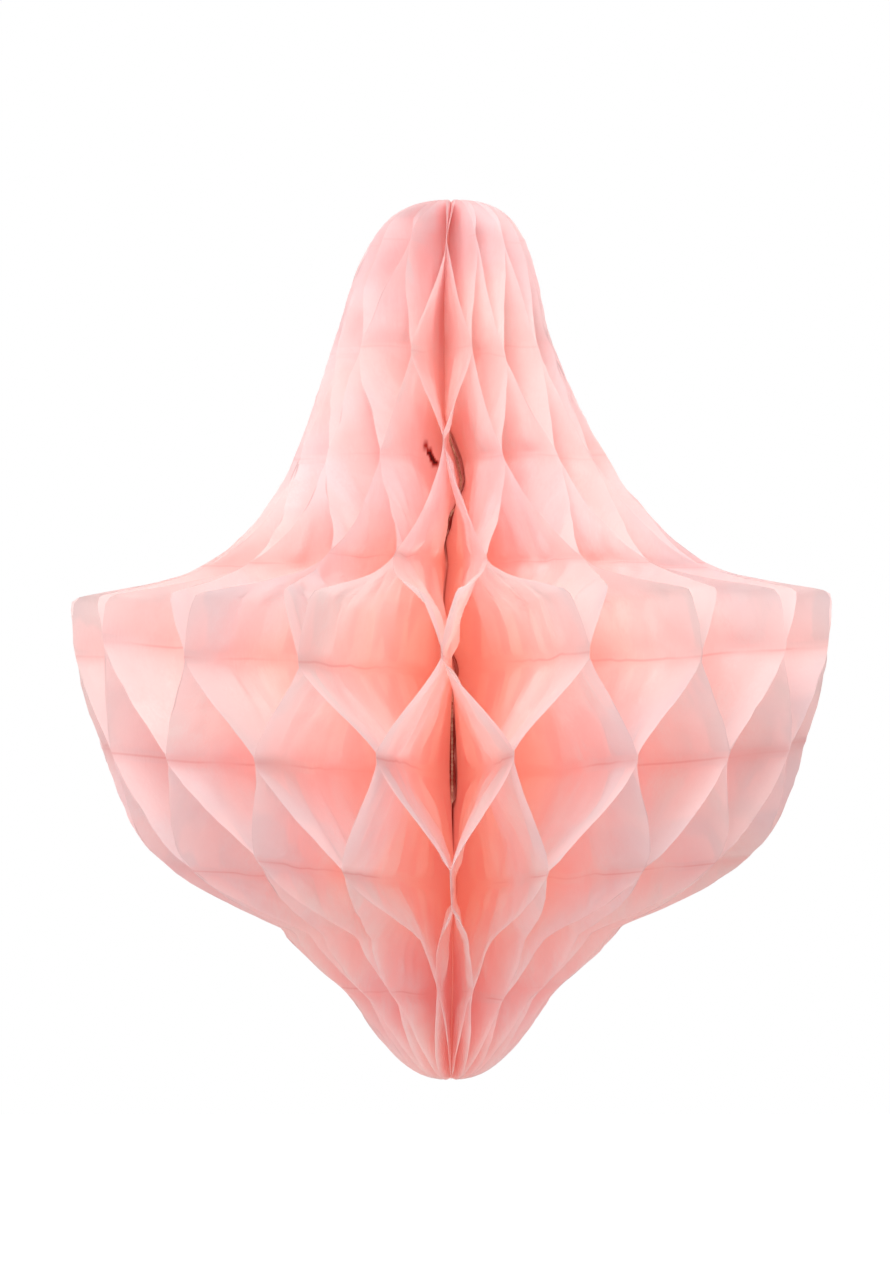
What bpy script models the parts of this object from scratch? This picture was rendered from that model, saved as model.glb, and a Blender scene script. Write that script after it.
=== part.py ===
"""Honeycomb paper bell, opened all the way round.

The bell is a pad of tissue leaves, each cut to half of the bell's outline and glued to its
neighbours on alternating lines. Turned about its spine until the two stiff covers lie back to back,
the pad opens into a round body of diamond-shaped cells.

Frame: metres, +Z up. The origin is the top of the spine, where the bell hangs. The spine lies on
the Z axis, the covers meet in the YZ plane at +Y, and -Y is the front. The glue lines lie on rays
round the spine, numbered from 0 at the covers, clockwise seen from above; leaf 1 swings between rays
0 and 1, and so on to the last leaf.
"""

import math

import bmesh
import bpy
from mathutils import Vector
from mathutils.geometry import interpolate_bezier

MM = 0.001

# Driving dimensions of the bell
BELL_HEIGHT = 300 * MM
BRIM_RADIUS = 129.5 * MM
LEAF_COUNT = 36

# Depths of the glue lines below the top, where they meet the leaves' outer edge and the spine. They
# are evenly spaced along the spine, and the swing of the opened leaves draws their outer ends
# together at the brim.
GLUE_DEPTHS = [depth * MM for depth in (15, 52, 88, 124, 154, 187, 225, 267)]
LINE_COUNT = len(GLUE_DEPTHS)
FIRST_SPINE_GLUE = 14 * MM
SPINE_GLUE_SPACING = 36.7 * MM
GLUE_BAND = 4.8 * MM
PAST_TIP = 3 * MM

# At the front a stray run of glue keeps two leaves together for longer, by glue line and ray
LONG_GLUE = {(7, 18): 20 * MM}

# The photograph's view: pixels of its frame, and the size of one of them at the spine
PICTURE_WIDTH, PICTURE_HEIGHT = 890, 1280
TOP_PIXEL, SPINE_PIXEL = 202, 451
PIXEL_SIZE = 0.3425 * MM
CAMERA_DISTANCE = 1.1

# Where the photograph shows the glue points of the leaves' outer edge: glue line, ray, pixel
SEEN_GLUE = {
    1: {18: (447, 237)},
    2: {15: (499, 356), 17: (476, 345), 19: (417, 350)},
    3: {12: (583, 458), 14: (549, 455), 16: (499, 455), 18: (443, 438)},
    4: {11: (699, 567), 13: (640, 562), 15: (584, 558), 17: (487, 558), 19: (395, 553), 21: (328, 553)},
    5: {12: (783, 650), 14: (703, 656), 16: (590, 652), 18: (441, 652), 20: (298, 662), 22: (184, 657)},
    6: {11: (787, 751), 13: (728, 757), 15: (638, 760), 17: (514, 756), 19: (376, 758), 21: (254, 763)},
    7: {12: (700, 865), 14: (635, 872), 16: (547, 875), 18: (450, 874), 20: (343, 873), 22: (257, 861)},
    8: {15: (503, 1000), 17: (473, 992), 19: (440, 987)},
}
MOST_TURN = math.radians(3.5)
PIXEL_ROUNDS = 12

# The crown leans a little to the left and the bowl a little to the right, away from the spine and the
# seam: depth, shift in millimetres
LEAN = [(0, 0), (12, -1.6), (45, -3), (68, -2.4), (94, -0.4), (112, 1), (135, 0), (220, 1.6), (238, 1.8)]
LEAN += [(252, 0), (300, 0)]
LEAN_REACH = 26 * MM
LEAN_GROWTH = 1.4

# On the left of the crown the leaves' edges lie over like shingles: depth and shift in millimetres, and
# the share of that shift at each ray
FOLD = [(0, 0), (8, 5), (60, 7.5), (95, 6), (120, 0), (300, 0)]
FOLD_RAYS = [(0, 0), (18.4, 0), (21.5, 1), (31, 1), (35, 0), (36, 0)]
FOLD_DRAW = 0.25

# Thicknesses and the parts of the spine
LEAF_THICKNESS = 0.35 * MM
GLUE_GAP = 0.25 * MM
CARD_THICKNESS = 0.5 * MM
SPINE_RADIUS = 4 * MM
SPINE_SIDES = 24
THREAD_RADIUS = 0.55 * MM
THREAD_SIDES = 12
CLEARANCE = 0.3 * MM
SHARP_ANGLE = math.radians(40)

# Each card leaves half a clearance to the seam plane and a whole one to the leaf behind it
SEAM_HALF_GAP = CARD_THICKNESS + 1.5 * CLEARANCE

# How much a leaf's swing between two glue bands eases in and out: 0 is straight, 1 is a full S
SWING_EASE = 0.3

# The leaf's outline from top to tip, as Bezier spans of (radius, depth below the top) in millimetres:
# knot, handle, handle, knot, and the number of straight steps that the span is drawn with
SPINE_EDGE = SPINE_RADIUS / MM
BRIM_EDGE = BRIM_RADIUS / MM
TIP_DEPTH = BELL_HEIGHT / MM
OUTLINE = [
    # Domed crown
    ((SPINE_EDGE, 0), (30, 0), (31.5, 26), (37.5, 45.6), 7),
    # Side that flares out towards the brim
    ((37.5, 45.6), (47.5, 77), (65.5, 119.4), (95, 127.8), 9),
    # Upper face of the brim
    ((95, 127.8), (106, 131), (117, 133), (126.5, 136.6), 3),
    # Rounded lip
    ((126.5, 136.6), (129, 137.6), (BRIM_EDGE, 139), (BRIM_EDGE, 142), 2),
    # Outer wall
    ((BRIM_EDGE, 142), (BRIM_EDGE, 163), (114.2, 214.4), (102, 222), 7),
    # Rounded bottom
    ((102, 222), (91, 234), (74, 240), (58.5, 247.5), 4),
    # Clapper below the notch
    ((58.5, 247.5), (53, 256), (42, 265), (35, 271), 3),
    ((35, 271), (29.2, 280), (17, TIP_DEPTH), (SPINE_EDGE, TIP_DEPTH), 6),
]

# Colours of the materials, linear
TISSUE_PINK = (0.93, 0.62, 0.57)
CARD_PINK = (0.86, 0.42, 0.38)
THREAD_BROWN = (0.42, 0.27, 0.19)


def clear_scene():
    for old in list(bpy.data.objects):
        bpy.data.objects.remove(old, do_unlink=True)


def paper_material(name, color, roughness):
    material = bpy.data.materials.new(name)
    material.use_nodes = True
    shader = material.node_tree.nodes["Principled BSDF"]
    shader.inputs["Base Color"].default_value = (*color, 1)
    shader.inputs["Roughness"].default_value = roughness
    shader.inputs["Metallic"].default_value = 0
    return material


def add_object(name, bm, material, parent):
    mesh = bpy.data.meshes.new(name)
    bmesh.ops.recalc_face_normals(bm, faces=bm.faces)
    bm.to_mesh(mesh)
    bm.free()
    mesh.materials.append(material)
    made = bpy.data.objects.new(name, mesh)
    made.parent = parent
    bpy.context.collection.objects.link(made)
    return made


def outline_points():
    """The outline from top to tip, as (radius, height) in metres; heights are negative."""
    points = []
    for knot, handle, next_handle, next_knot, steps in OUTLINE:
        ends = [Vector((radius, -depth)) * MM for radius, depth in (knot, handle, next_handle, next_knot)]
        span = interpolate_bezier(*ends, steps + 1)
        points += span if not points else span[1:]
    return [(point.x, point.y) for point in points]


def interpolate(table, value):
    """The second value of a table of pairs at this first value."""
    for (low, low_value), (high, high_value) in zip(table, table[1:]):
        if low <= value <= high:
            return low_value + (value - low) / (high - low) * (high_value - low_value)
    raise ValueError("value is outside the table")


class Outline:
    """The outline as tables by depth and by length along the edge, because paper keeps its length."""

    def __init__(self):
        points = outline_points()
        steps = [math.dist(one, other) for one, other in zip(points, points[1:])]
        self.lengths = [sum(steps[:count]) for count in range(len(points))]
        self.total = self.lengths[-1]
        self.radius_by_length = list(zip(self.lengths, [radius for radius, _ in points]))
        self.height_by_length = list(zip(self.lengths, [height for _, height in points]))
        self.radius_by_depth = [(-height, radius) for radius, height in points]
        self.length_by_depth = [(-height, length) for length, height in self.height_by_length]


def lean_at(depth, angle, radius):
    """Shift to the right of a point of the opened bell: none at the spine and none at the seam."""
    grown = min(1, (1 - math.cos(angle)) * LEAN_GROWTH)
    near_spine = max(0, 1 - radius / LEAN_REACH)
    return interpolate(LEAN, depth / MM) * MM * grown * (1 - near_spine**2)


def glue_from_pixel(pixel, ray, depth, outline):
    """Turn from the ray, and depth, of the glue point that the photograph shows at this pixel."""
    nominal = math.pi * (1 - 2 * ray / LEAF_COUNT)
    camera_x = (PICTURE_WIDTH / 2 - SPINE_PIXEL) * PIXEL_SIZE
    camera_z = (TOP_PIXEL - PICTURE_HEIGHT / 2) * PIXEL_SIZE
    turn = nominal
    for _ in range(PIXEL_ROUNDS):
        radius = interpolate(outline.radius_by_depth, depth)
        size = PIXEL_SIZE * (1 - radius * math.cos(turn) / CAMERA_DISTANCE)
        depth = -(camera_z + (PICTURE_HEIGHT / 2 - pixel[1]) * size)
        lean = lean_at(depth, math.pi - turn, radius)
        across = camera_x + (pixel[0] - PICTURE_WIDTH / 2) * size - lean
        turn = math.asin(max(-1, min(1, across / radius)))
    return max(-MOST_TURN, min(MOST_TURN, nominal - turn)), depth


def glue_point(line, ray, outline):
    """Turn from the ray, and length along the edge, of the middle of a glue band."""
    if line > LINE_COUNT:
        return 0, outline.total + PAST_TIP
    depth = GLUE_DEPTHS[max(line, 1) - 1]
    turn = 0
    if ray in SEEN_GLUE.get(line, {}):
        turn, depth = glue_from_pixel(SEEN_GLUE[line][ray], ray, depth, outline)
    length = interpolate(outline.length_by_depth, depth)
    return turn, length if line else length - SPINE_GLUE_SPACING


def leaf_knots(leaf, outline):
    """The start and end of a leaf's glue bands: length along the edge, ray, turn, height at the spine.

    Even rays are glued at the first, third and further odd lines, and odd rays at the even ones. One
    more band beyond each end of the leaf gives the swing there.
    """
    knots = []
    for line in range(LINE_COUNT + 2):
        ray = leaf if (line + leaf) % 2 else leaf - 1
        turn, middle = glue_point(line, ray, outline)
        spine_depth = FIRST_SPINE_GLUE + SPINE_GLUE_SPACING * (line - 1)
        half = GLUE_BAND / 2
        knots.append((middle - half, ray, turn, half - spine_depth))
        knots.append((middle + half + LONG_GLUE.get((line, ray), 0), ray, turn, -half - spine_depth))
    return knots


def swing_at(length, knots):
    """The ray and the turn that a leaf has reached at this length along its edge."""
    for (start, ray, turn, _), (end, next_ray, next_turn, _) in zip(knots, knots[1:]):
        if start <= length <= end:
            share = (length - start) / (end - start)
            eased = share * share * (3 - 2 * share)
            share += SWING_EASE * (eased - share)
            return ray + share * (next_ray - ray), turn + share * (next_turn - turn)
    raise ValueError("length is outside the leaf")


def stations(outline, knots):
    """Lengths at which a leaf's edge has a point: the outline's own, and each band's start and end."""
    edges = [length for length, _, _, _ in knots if 0 < length < outline.total]
    spare = GLUE_BAND / 2
    kept = [length for length in outline.lengths if all(abs(length - edge) > spare for edge in edges)]
    ends = [0, outline.total]
    return sorted(set(kept + edges + ends))


def ray_angle(ray, radius):
    """Angle of a glue ray from the back, with room left at the back for the two covers."""
    seam = math.asin(SEAM_HALF_GAP / radius)
    return seam + ray * (2 * math.pi - 2 * seam) / LEAF_COUNT


def on_circle(radius, angle, height):
    return Vector((radius * math.sin(angle), radius * math.cos(angle), height))


def leaf_sides(bm, leaf, radius, height, ray, turn):
    """The points on a leaf's two faces at this radius, where it has reached this ray."""
    start = ray_angle(leaf - 1, radius)
    room = ray_angle(leaf, radius) - start - (LEAF_THICKNESS + GLUE_GAP) / radius
    near = start + (ray - leaf + 1) * room + GLUE_GAP / 2 / radius + turn
    fold = interpolate(FOLD_RAYS, ray) * interpolate(FOLD, -height / MM) * MM
    if radius <= SPINE_RADIUS:
        fold = 0
    sides = []
    for angle in (near, near + LEAF_THICKNESS / radius):
        point = on_circle(radius - FOLD_DRAW * fold, angle + fold / radius, height)
        point.x += lean_at(-height, angle, radius) if radius > SPINE_RADIUS else 0
        sides.append(bm.verts.new(point))
    return sides


def add_strip(bm, points):
    """The narrow face between a leaf's two sides, down this list of point pairs."""
    for (near_upper, far_upper), (near_lower, far_lower) in zip(points, points[1:]):
        bm.faces.new((near_upper, far_upper, far_lower, near_lower))


def add_wall(bm, rim, top, foot):
    """A leaf's face between two bands: triangles that fan out from its two points at the spine."""
    middle = (top.co.z + foot.co.z) / 2
    turn = min(range(len(rim)), key=lambda index: abs(rim[index].co.z - middle))
    for index, (upper, lower) in enumerate(zip(rim, rim[1:])):
        corners = dict.fromkeys((top if index < turn else foot, upper, lower))
        if len(corners) == 3:
            bm.faces.new(list(corners))
    bm.faces.new((top, rim[turn], foot))


def make_leaf(leaf, outline, material, parent):
    """One tissue leaf, a thin closed sheet that swings to and fro between the glue rays beside it."""
    bm = bmesh.new()
    knots = leaf_knots(leaf, outline)
    spine_heights = {length: height for length, _, _, height in knots}
    lengths = stations(outline, knots)
    outer = {}
    inner = {}
    for length in lengths:
        ray, turn = swing_at(length, knots)
        radius = interpolate(outline.radius_by_length, length)
        height = interpolate(outline.height_by_length, length)
        outer[length] = leaf_sides(bm, leaf, radius, height, ray, turn)
        if length in (lengths[0], lengths[-1]):
            inner[length] = outer[length]
        elif length in spine_heights:
            inner[length] = leaf_sides(bm, leaf, SPINE_RADIUS, spine_heights[length], ray, 0)

    add_strip(bm, [outer[length] for length in lengths])
    add_strip(bm, list(inner.values()))
    for upper, lower in zip(inner, list(inner)[1:]):
        between = [length for length in lengths if upper <= length <= lower]
        for side in (0, 1):
            rim = [outer[length][side] for length in between]
            add_wall(bm, rim, inner[upper][side], inner[lower][side])
    return add_object(f"leaf_{leaf:02d}", bm, material, parent)


def make_spine(material, parent):
    """The leaves' inner edges, glued into a round core with a hole for the thread down its middle."""
    bm = bmesh.new()
    rings = []
    for radius in (SPINE_RADIUS - CLEARANCE, THREAD_RADIUS + CLEARANCE):
        for height in (0, -BELL_HEIGHT):
            angles = [2 * math.pi * corner / SPINE_SIDES for corner in range(SPINE_SIDES)]
            rings.append([bm.verts.new(on_circle(radius, angle, height)) for angle in angles])
    outer_top, outer_foot, bore_top, bore_foot = rings
    for upper, lower in (
        (outer_top, outer_foot),
        (bore_foot, bore_top),
        (bore_top, outer_top),
        (outer_foot, bore_foot),
    ):
        for corner in range(SPINE_SIDES):
            following = (corner + 1) % SPINE_SIDES
            bm.faces.new((upper[corner], upper[following], lower[following], lower[corner]))
    spine = add_object("glued_spine", bm, material, parent)
    smooth(spine)
    return spine


def make_cover(name, side, material, parent):
    """A stiff half-bell card that lies in the seam plane and carries the outermost leaf."""
    bm = bmesh.new()
    near = SPINE_RADIUS + 2 * CLEARANCE
    edge = [(radius, height) for radius, height in outline_points() if radius > near + CLEARANCE]
    corners = [(near, edge[0][1]), *edge, (near, edge[-1][1])]
    inner_face = side * CLEARANCE / 2
    face = bm.faces.new([bm.verts.new((inner_face, y, z)) for y, z in corners])
    grown = bmesh.ops.extrude_face_region(bm, geom=[face])["geom"]
    moved = [item for item in grown if isinstance(item, bmesh.types.BMVert)]
    bmesh.ops.translate(bm, verts=moved, vec=(side * CARD_THICKNESS, 0, 0))
    return add_object(name, bm, material, parent)


def smooth(made):
    made.data.shade_smooth()
    made.data.set_sharp_from_angle(angle=SHARP_ANGLE)


def make_thread(material, parent):
    """The binding thread, which runs down the middle of the spine."""
    bm = bmesh.new()
    ends = {"radius1": THREAD_RADIUS, "radius2": THREAD_RADIUS}
    bmesh.ops.create_cone(bm, cap_ends=True, segments=THREAD_SIDES, depth=BELL_HEIGHT, **ends)
    thread = add_object("spine_thread", bm, material, parent)
    thread.location.z = -BELL_HEIGHT / 2
    smooth(thread)
    return thread


def main():
    clear_scene()
    hanging_point = bpy.data.objects.new("hanging_point", None)
    bpy.context.collection.objects.link(hanging_point)
    tissue = paper_material("tissue", TISSUE_PINK, 0.85)
    card = paper_material("card", CARD_PINK, 0.7)
    cotton = paper_material("thread", THREAD_BROWN, 0.9)

    outline = Outline()
    for leaf in range(1, LEAF_COUNT + 1):
        make_leaf(leaf, outline, tissue, hanging_point)
    make_spine(tissue, hanging_point)
    make_cover("cover_card_left", -1, card, hanging_point)
    make_cover("cover_card_right", 1, card, hanging_point)
    make_thread(cotton, hanging_point)


main()
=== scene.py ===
# %% [markdown]
# # A honeycomb paper bell
#
# Honeycomb paper is a pad of thin tissue leaves. Each leaf is glued to the next one along lines that
# alternate, so that when the pad is opened round its spine, the leaves swing to and fro between the glue
# lines and diamond-shaped cells appear. Here each leaf is cut to half of a bell's outline.
#
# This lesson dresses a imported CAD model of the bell. The CAD leaves are flat-sided and 0.35 mm thick. Each
# one is replaced by a real sheet: a fine grid of points that swings, creases and wrinkles as tissue does.

# %% Load the CAD frame
import math

import bpy
import numpy as np
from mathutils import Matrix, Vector
from mathutils.geometry import interpolate_bezier


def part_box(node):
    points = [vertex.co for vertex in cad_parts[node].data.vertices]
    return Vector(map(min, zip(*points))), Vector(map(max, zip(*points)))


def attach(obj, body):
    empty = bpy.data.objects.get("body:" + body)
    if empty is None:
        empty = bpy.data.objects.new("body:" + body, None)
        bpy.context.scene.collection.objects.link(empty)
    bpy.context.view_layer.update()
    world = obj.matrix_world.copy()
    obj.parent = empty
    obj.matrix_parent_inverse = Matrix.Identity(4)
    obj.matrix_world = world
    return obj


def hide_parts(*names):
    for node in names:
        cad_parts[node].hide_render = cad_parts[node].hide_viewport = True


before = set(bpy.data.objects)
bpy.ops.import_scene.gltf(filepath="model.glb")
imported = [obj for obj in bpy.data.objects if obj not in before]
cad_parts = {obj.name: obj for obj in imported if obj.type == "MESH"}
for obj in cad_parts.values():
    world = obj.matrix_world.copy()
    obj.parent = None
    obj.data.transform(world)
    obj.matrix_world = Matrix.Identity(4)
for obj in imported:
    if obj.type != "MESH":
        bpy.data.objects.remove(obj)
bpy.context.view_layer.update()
MM = 0.001
LEAVES = sorted(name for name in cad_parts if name.startswith("leaf_"))
LEAF_COUNT = len(LEAVES)
print("leaves:", LEAF_COUNT)

# %% [markdown]
# ## The camera
#
# The bell hangs at eye level, so the camera is level too, and its picture shows no tilt. At 1.1 m from the
# spine, one pixel of the 890 by 1280 picture covers about a third of a millimetre there. The camera comes
# first, because some glue points are placed by where the picture shows them.

# %% Camera
PICTURE_WIDTH, PICTURE_HEIGHT = 890, 1280
CAMERA_DISTANCE = 1.1
BELL_TOP_PIXEL = 202
SPINE_PIXEL = 451
BELL_HEIGHT = -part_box("spine_thread")[0].z
PIXEL_SIZE = 0.3425 * MM
FOCAL_PIXELS = CAMERA_DISTANCE / PIXEL_SIZE
CAMERA_X = (PICTURE_WIDTH / 2 - SPINE_PIXEL) * PIXEL_SIZE
CAMERA_Z = (BELL_TOP_PIXEL - PICTURE_HEIGHT / 2) * PIXEL_SIZE
SENSOR = 36.0

camera_data = bpy.data.cameras.new("camera")
camera_data.sensor_width = SENSOR
camera_data.lens = FOCAL_PIXELS / PICTURE_HEIGHT * SENSOR
camera = bpy.data.objects.new("camera", camera_data)
camera.location = (CAMERA_X, -CAMERA_DISTANCE, CAMERA_Z)
camera.rotation_euler = (math.radians(90), 0, 0)
bpy.context.scene.collection.objects.link(camera)
bpy.context.scene.camera = camera
print("lens:", round(camera_data.lens, 1), "mm, camera height:", round(CAMERA_Z, 4), "m")

# %% [markdown]
# ## The outline of a leaf
#
# All leaves are die-cut to one outline: a domed crown, a side that flares out to a sharp lip, a rounded
# bowl below it, and a small clapper at the tip. Eight Bezier spans draw it. They are those of the CAD
# model, apart from a lip that is about a millimetre sharper, and they are read at many more points. The
# length along the edge is kept beside them, because paper keeps its length: glue lines and swings are
# measured along the edge and not straight down.

# %% Outline
OUTLINE_SPANS = [
    ((4, 0), (30, 0), (31.5, 26), (37.5, 45.6)),
    ((37.5, 45.6), (47.5, 77), (65.5, 119.4), (95, 127.8)),
    ((95, 127.8), (106, 131), (117, 132.3), (127, 134.4)),
    ((127, 134.4), (129, 134.9), (129.5, 136), (129.5, 138.5)),
    ((129.5, 138.5), (129.5, 162), (114.2, 214.4), (102, 222)),
    ((102, 222), (91, 234), (74, 240), (58.5, 247.5)),
    ((58.5, 247.5), (53, 256), (42, 265), (35, 271)),
    ((35, 271), (29.2, 280), (17, 300), (4, 300)),
]
SPAN_STEPS = 40


def outline_curve():
    """Radius, depth and length along the edge of many points down the outline, in millimetres."""
    points = [Vector(OUTLINE_SPANS[0][0])]
    for span in OUTLINE_SPANS:
        points += interpolate_bezier(*[Vector(knot) for knot in span], SPAN_STEPS + 1)[1:]
    flat = np.array([tuple(point) for point in points])
    steps = np.hypot(*np.diff(flat, axis=0).T)
    return flat[:, 0], flat[:, 1], np.concatenate([[0], np.cumsum(steps)])


EDGE_RADIUS, EDGE_DEPTH, EDGE_LENGTH = outline_curve()
TOTAL_LENGTH = EDGE_LENGTH[-1]
print("cut edge:", round(TOTAL_LENGTH), "mm, widest radius:", round(EDGE_RADIUS.max(), 1), "mm")


def length_at(depth):
    return np.interp(depth, EDGE_DEPTH, EDGE_LENGTH)


# %% [markdown]
# ## The glue points
#
# A glue line runs from the spine to the edge. Even rays are glued at the first, third and further odd
# lines, and odd rays at the even lines. At the spine the lines are evenly spaced. At the edge they sit
# where the picture shows them, so the points that face the camera are read from it. The points that can't
# be seen get small seeded offsets instead: no two cells of a hand-opened bell are alike.

# %% Glue lines
LINE_COUNT = 8
EDGE_GLUE = (15, 52, 88, 124, 154, 187, 225, 267)
SPINE_GLUE_START, SPINE_GLUE_STEP = 14.0, 36.7
BAND_HALF = 1.8
FRONT_RAY = LEAF_COUNT // 2
STEP = math.radians(360 / LEAF_COUNT)

# Where the picture shows the glue points at the cut edge: line number, then ray, then pixel
SEEN_GLUE = {
    1: {18: (447, 237)},
    2: {17: (476, 345), 15: (499, 356), 19: (417, 350)},
    3: {18: (443, 438), 16: (499, 455), 14: (549, 455), 12: (583, 458)},
    4: {17: (487, 558), 15: (584, 558), 13: (640, 562), 11: (699, 567), 19: (395, 553), 21: (328, 553)},
    5: {
        18: (441, 652), 16: (590, 652), 14: (703, 656), 12: (783, 650),
        20: (298, 662), 22: (184, 657), 24: (103, 640),
    },
    6: {
        17: (514, 756), 15: (638, 760), 13: (728, 757), 11: (787, 751),
        19: (376, 758), 21: (254, 763), 23: (166, 760),
    },
    7: {18: (450, 874), 16: (547, 875), 14: (635, 872), 12: (700, 865), 20: (343, 873), 22: (257, 861)},
    8: {17: (473, 992), 19: (440, 987), 15: (503, 1000)},
}
MOST_TURN = math.radians(3.5)
RANDOM_TURN = math.radians(0.6)
RANDOM_DEPTH, RANDOM_SPINE_DEPTH = 1.3, 0.8
PIXEL_ROUNDS = 12
glue_random = np.random.default_rng(11)


def glue_from_pixel(pixel, ray, depth):
    """Turn from the ray and depth at which the cut edge shows at this pixel."""
    nominal = (FRONT_RAY - ray) * STEP
    turn = nominal
    for _ in range(PIXEL_ROUNDS):
        radius = np.interp(depth, EDGE_DEPTH, EDGE_RADIUS) * MM
        distance = CAMERA_DISTANCE - radius * math.cos(turn)
        size = distance / FOCAL_PIXELS
        across = CAMERA_X + (pixel[0] - PICTURE_WIDTH / 2) * size - lean_at(depth) * MM
        depth = -(CAMERA_Z + (PICTURE_HEIGHT / 2 - pixel[1]) * size - across * TILT) / MM
        turn = math.asin(max(-1.0, min(1.0, across / radius)))
    turn = max(nominal - MOST_TURN, min(nominal + MOST_TURN, turn))
    return nominal - turn, depth


# The bell hangs a little askew: its right side is higher, and the crown leans to the left and the bowl to
# the right. Rise per millimetre to the right, then depth and shift in millimetres
TILT = 0.010
LEAN_DEPTHS = (0, 12, 45, 68, 94, 112, 135, 220, 238, 252, 300)
LEAN_SHIFTS = (0, -1.6, -3, -2.4, -0.4, 1.0, 0, 1.6, 1.8, 0, 0)


def lean_at(depth):
    return np.interp(depth, LEAN_DEPTHS, LEAN_SHIFTS)


def glue_table():
    """Angle, edge depth and spine depth of every glue point, by line and ray."""
    table = {}
    for line in range(LINE_COUNT + 2):
        spine = SPINE_GLUE_START + SPINE_GLUE_STEP * (line - 1)
        for ray in range(LEAF_COUNT + 1):
            turn, drop, sink = glue_random.uniform(-1, 1, 3)
            angle = turn * RANDOM_TURN * (0 < ray < LEAF_COUNT)
            inside = 1 <= line <= LINE_COUNT
            depth = (EDGE_GLUE[line - 1] if inside else 0) + drop * RANDOM_DEPTH
            if ray in SEEN_GLUE.get(line, {}):
                angle, depth = glue_from_pixel(SEEN_GLUE[line][ray], ray, depth)
            table[line, ray] = (angle, depth, spine + sink * RANDOM_SPINE_DEPTH)
    return table


GLUE = glue_table()
print("glue points:", sum((line + ray) % 2 for line, ray in GLUE))
print("read from the picture:", sum(map(len, SEEN_GLUE.values())))

# %% [markdown]
# ## Rows and columns of a leaf
#
# A leaf is a grid. Its rows run from the spine to the cut edge, and they follow the glue lines, so that
# every crease lies on a row. A row's position counts the ends of the glue bands: the band of line 3 runs
# from 6 to 7, and 7.5 is halfway from there to the band of line 4. Rows are about 3 mm apart along the
# edge. The columns are close together at the spine, where the leaves part, and about 2 mm apart at the
# brim.

# %% Rows and columns
ROW_STEP = 2.7
COLUMN_COUNT = 60
CREASE_ROW = 0.17
SPINE_COLUMNS = np.array([0.6, 1.0, 1.5, 2.1, 3.0, 4.3, 6.0])
PAST_TIP = 3
KNOTS = np.arange(2 * (LINE_COUNT + 2))


def glue_lengths(depths, extra=0.0):
    """Lengths along the edge of each band's start and end, with one more band beyond each end."""
    middles = [length_at(depth) for depth in depths]
    middles = np.array([middles[0] - SPINE_GLUE_STEP, *middles, TOTAL_LENGTH + PAST_TIP])
    return np.stack([middles - BAND_HALF, middles + BAND_HALF + extra], axis=1).ravel()


def row_positions():
    """Positions in knots: 2n is the start of band n and 2n + 1 its end."""
    lengths = glue_lengths(EDGE_GLUE)
    first = np.interp(0, lengths, KNOTS)
    last = np.interp(TOTAL_LENGTH, lengths, KNOTS)
    rows = [first, last]
    for knot in range(1, len(KNOTS) - 1):
        gap = lengths[knot + 1] - lengths[knot] if knot % 2 else 2 * BAND_HALF
        count = max(2, round(gap / ROW_STEP))
        rows += [knot + share / count for share in range(count)]
        if knot % 2 == 0:
            rows += [knot + 0.5 - CREASE_ROW, knot + 0.5 + CREASE_ROW]
    return np.array(sorted(row for row in rows if first <= row <= last))


ROWS = row_positions()
print("rows:", len(ROWS), "columns:", COLUMN_COUNT)
print("triangles a leaf:", 2 * (len(ROWS) - 1) * (COLUMN_COUNT - 1))

# %% [markdown]
# ## Crumple and pleats
#
# Two kinds of unevenness make tissue look like tissue. Soft pleats run down from a crease, because the
# paper is a little too long for the space it is glued into. Crumple breaks a panel into small flat facets,
# left from when the pad was pressed. Both come from a lattice of seeded random heights: blended softly for
# pleats, and joined by flat triangles for crumple. Each use has a seed of its own.

# %% Lattice noise
LATTICE = 64
WAVE_SEEDS, PLEAT_SEEDS, CRUMPLE_SEED = (21, 22), (31, 32), 33
CORE_SEED, CREASE_SHADE_SEED, DRIFT_SEEDS, SPOT_SEED, FOLD_SEED = 41, 51, (61, 62), 71, 81


def lattice_noise(across, down, seed, faceted=False):
    """Random heights between -1 and 1, soft or in flat facets, one for each unit of the lattice."""
    heights = np.random.default_rng(seed).uniform(-1, 1, (LATTICE, LATTICE))
    left, top = np.floor(across).astype(int), np.floor(down).astype(int)
    x, y = across - left, down - top
    here = heights[left % LATTICE, top % LATTICE]
    right = heights[(left + 1) % LATTICE, top % LATTICE]
    below = heights[left % LATTICE, (top + 1) % LATTICE]
    far = heights[(left + 1) % LATTICE, (top + 1) % LATTICE]
    if faceted:
        near_half = here + x * (right - here) + y * (below - here)
        far_half = far + (1 - x) * (below - far) + (1 - y) * (right - far)
        return np.where(x + y < 1, near_half, far_half)
    x, y = x * x * (3 - 2 * x), y * y * (3 - 2 * y)
    return (here * (1 - x) + right * x) * (1 - y) + (below * (1 - x) + far * x) * y


# %% [markdown]
# ## Partings at the spine
#
# Seen from the front, a few dark slots show between the leaves at the spine, with the binding thread
# inside. There the inner edges stand apart. Each parting is pushed open sideways, most at its middle, and
# only close to the spine. The spine itself isn't quite straight either, and wanders to the side by up to
# 3.6 mm.

# %% Partings and the wandering spine
# Ray, depth, half length and half width of each parting, in millimetres
SEEN_PARTINGS = [
    (18, 187, 19, 3.4),
    (17, 160, 5, 2.2),
    (17, 89, 10, 3.2),
    (18, 109, 4, 1.6),
]
PARTING_REACH = 4.2
OPENING_SLOPE = 2.5

# Even rays at the sides and back with a parting each, and the least and most depth, half length and width
OTHER_RAYS = [*range(2, 15, 2), *range(22, 36, 2)]
LEAST_PARTING, MOST_PARTING = (60, 5, 0.5), (240, 16, 1.1)
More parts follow.
